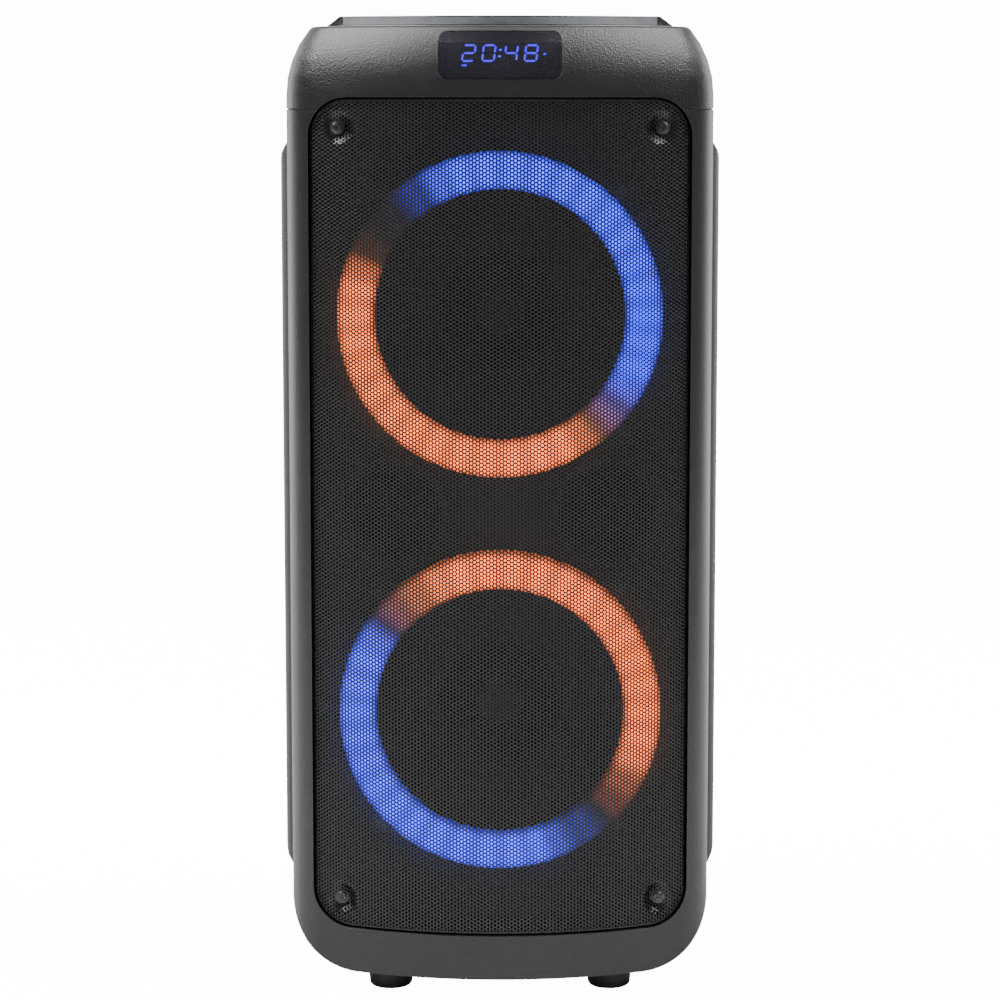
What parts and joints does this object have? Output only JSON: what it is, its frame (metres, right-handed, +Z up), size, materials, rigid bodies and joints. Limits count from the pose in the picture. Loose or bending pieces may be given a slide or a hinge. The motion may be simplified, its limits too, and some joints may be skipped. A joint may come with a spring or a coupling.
{
  "type": "party speaker",
  "caption": "Tall portable party speaker with a crowned perforated grille, stacked woofers ringed with light, a leaning top with a display, side grips and rubber feet.",
  "frame": {"origin": "on the floor, under the middle of the cabinet's box", "axes": "+Z up, -Y out of the grille, +X to the right of someone facing the grille"},
  "size_m": [0.289, 0.275, 0.6335],
  "materials": {
    "cabinet_plastic": "fine-grained black moulding",
    "frame_plastic": "satin graphite moulding with a fine grain",
    "cap_plastic": "satin graphite moulding with a fine grain",
    "baffle_board": "board painted black",
    "grille_steel": "perforated sheet, black powder coat",
    "grille_screw_steel": "blackened washer-head screws",
    "pad_rubber": "matt rubber",
    "grip_plastic": "black moulding",
    "foot_rubber": "matt rubber",
    "screw_steel": "plated steel",
    "deck_gloss": "gloss black moulding",
    "trim_metal": "satin grey strip",
    "circuit_board": "green laminate",
    "lens_smoke": "smoked gloss",
    "display_digits": "digit block with violet-blue digits",
    "encoder_metal": "plated steel",
    "knob_metal": "dark anodised",
    "ring_light": "milky diffuser, lit",
    "led_board_white": "white laminate",
    "port_plastic": "black moulding",
    "sink_aluminium": "extruded",
    "battery_wrap": "blue shrink wrap",
    "strap_steel": "plated steel",
    "panel_plastic": "black moulding",
    "inlet_plastic": "black socket",
    "jack_metal": "plated steel",
    "rocker_plastic": "black rocker",
    "small_knob_plastic": "black moulding",
    "lead_insulation": "red and black insulation",
    "basket_steel": "pressed steel, black",
    "plate_steel": "plated steel",
    "ferrite": "sintered ferrite",
    "cone_paper": "coated pulp",
    "dust_cap_paper": "coated pulp",
    "coil_metal": "former with copper winding",
    "surround_rubber": "rolled rubber",
    "spider_cloth": "resin-treated cloth",
    "button_plastic": "satin black"
  },
  "bodies": {
    "casing": {"amplifier_board": "circuit_board", "battery_pack": "battery_wrap", "battery_strap": "strap_steel", "control_board": "circuit_board", "control_deck": "deck_gloss", "deck_trim": "trim_metal", "display_lens": "lens_smoke", "display_module": "display_digits", "foot_screws": "screw_steel", "front_baffle": "baffle_board", "front_frame": "frame_plastic", "front_plate_lower": "plate_steel", "front_plate_upper": "plate_steel", "grille": "grille_steel", "grille_screws": "grille_screw_steel", "grip_cup_left": "grip_plastic", "grip_cup_right": "grip_plastic", "heat_sink": "sink_aluminium", "led_boards": "led_board_white", "light_ring_lower": "ring_light", "light_ring_upper": "ring_light", "magnet_lower": "ferrite", "magnet_upper": "ferrite", "mains_inlet": "inlet_plastic", "mic_jacks": "jack_metal", "pole_yoke_lower": "plate_steel", "pole_yoke_upper": "plate_steel", "port_tube_left": "port_plastic", "port_tube_right": "port_plastic", "rear_cabinet": "cabinet_plastic", "rear_panel": "panel_plastic", "rubber_feet": "foot_rubber", "side_pad_left": "pad_rubber", "side_pad_right": "pad_rubber", "speaker_leads": "lead_insulation", "spider_lower": "spider_cloth", "spider_upper": "spider_cloth", "surround_lower": "surround_rubber", "surround_upper": "surround_rubber", "top_cap": "cap_plastic", "usb_socket": "jack_metal", "volume_encoder": "encoder_metal", "wood_screws": "screw_steel", "woofer_basket_lower": "basket_steel", "woofer_basket_upper": "basket_steel"},
    "cone_group_upper": {"cone_upper": "cone_paper", "dust_cap_upper": "dust_cap_paper", "voice_coil_upper": "coil_metal"},
    "cone_group_lower": {"cone_lower": "cone_paper", "dust_cap_lower": "dust_cap_paper", "voice_coil_lower": "coil_metal"},
    "volume_knob": {"volume_knob": "knob_metal"},
    "mic_knob": {"mic_knob": "small_knob_plastic"},
    "echo_knob": {"echo_knob": "small_knob_plastic"},
    "power_rocker": {"power_rocker": "rocker_plastic"},
    "power_button": {"power_button": "button_plastic"},
    "previous_button": {"previous_button": "button_plastic"},
    "play_button": {"play_button": "button_plastic"},
    "next_button": {"next_button": "button_plastic"},
    "light_button": {"light_button": "button_plastic"}
  },
  "joints": [
    {"name": "cone_travel_upper", "type": "slide", "parent": "casing", "child": "cone_group_upper", "axis": [0, -1, 0], "range_m": [-0.004, 0.004], "stiffness_N_per_m": 2000, "deforming": ["surround_upper", "spider_upper"]},
    {"name": "cone_travel_lower", "type": "slide", "parent": "casing", "child": "cone_group_lower", "axis": [0, -1, 0], "range_m": [-0.004, 0.004], "stiffness_N_per_m": 2000, "deforming": ["surround_lower", "spider_lower"]},
    {"name": "power_press", "type": "slide", "parent": "casing", "child": "power_button", "axis": [0, 0, -1], "range_m": [0, 0.001], "stiffness_N_per_m": 400},
    {"name": "previous_press", "type": "slide", "parent": "casing", "child": "previous_button", "axis": [0, 0, -1], "range_m": [0, 0.001], "stiffness_N_per_m": 400},
    {"name": "play_press", "type": "slide", "parent": "casing", "child": "play_button", "axis": [0, 0, -1], "range_m": [0, 0.001], "stiffness_N_per_m": 400},
    {"name": "next_press", "type": "slide", "parent": "casing", "child": "next_button", "axis": [0, 0, -1], "range_m": [0, 0.001], "stiffness_N_per_m": 400},
    {"name": "light_press", "type": "slide", "parent": "casing", "child": "light_button", "axis": [0, 0, -1], "range_m": [0, 0.001], "stiffness_N_per_m": 400},
    {"name": "volume_turn", "type": "hinge", "parent": "casing", "child": "volume_knob", "pos_m": [0, -0.02, 0.626], "axis": [0, 0, 1], "continuous": true},
    {"name": "mic_level_turn", "type": "hinge", "parent": "casing", "child": "mic_knob", "pos_m": [0.017, 0.1255, 0.158], "axis": [0, 1, 0], "range_deg": [-150, 150]},
    {"name": "echo_level_turn", "type": "hinge", "parent": "casing", "child": "echo_knob", "pos_m": [0.051, 0.1255, 0.158], "axis": [0, 1, 0], "range_deg": [-150, 150]},
    {"name": "power_rock", "type": "hinge", "parent": "casing", "child": "power_rocker", "pos_m": [0.051, 0.1245, 0.086], "axis": [1, 0, 0], "range_deg": [-18, 0]}
  ]
}
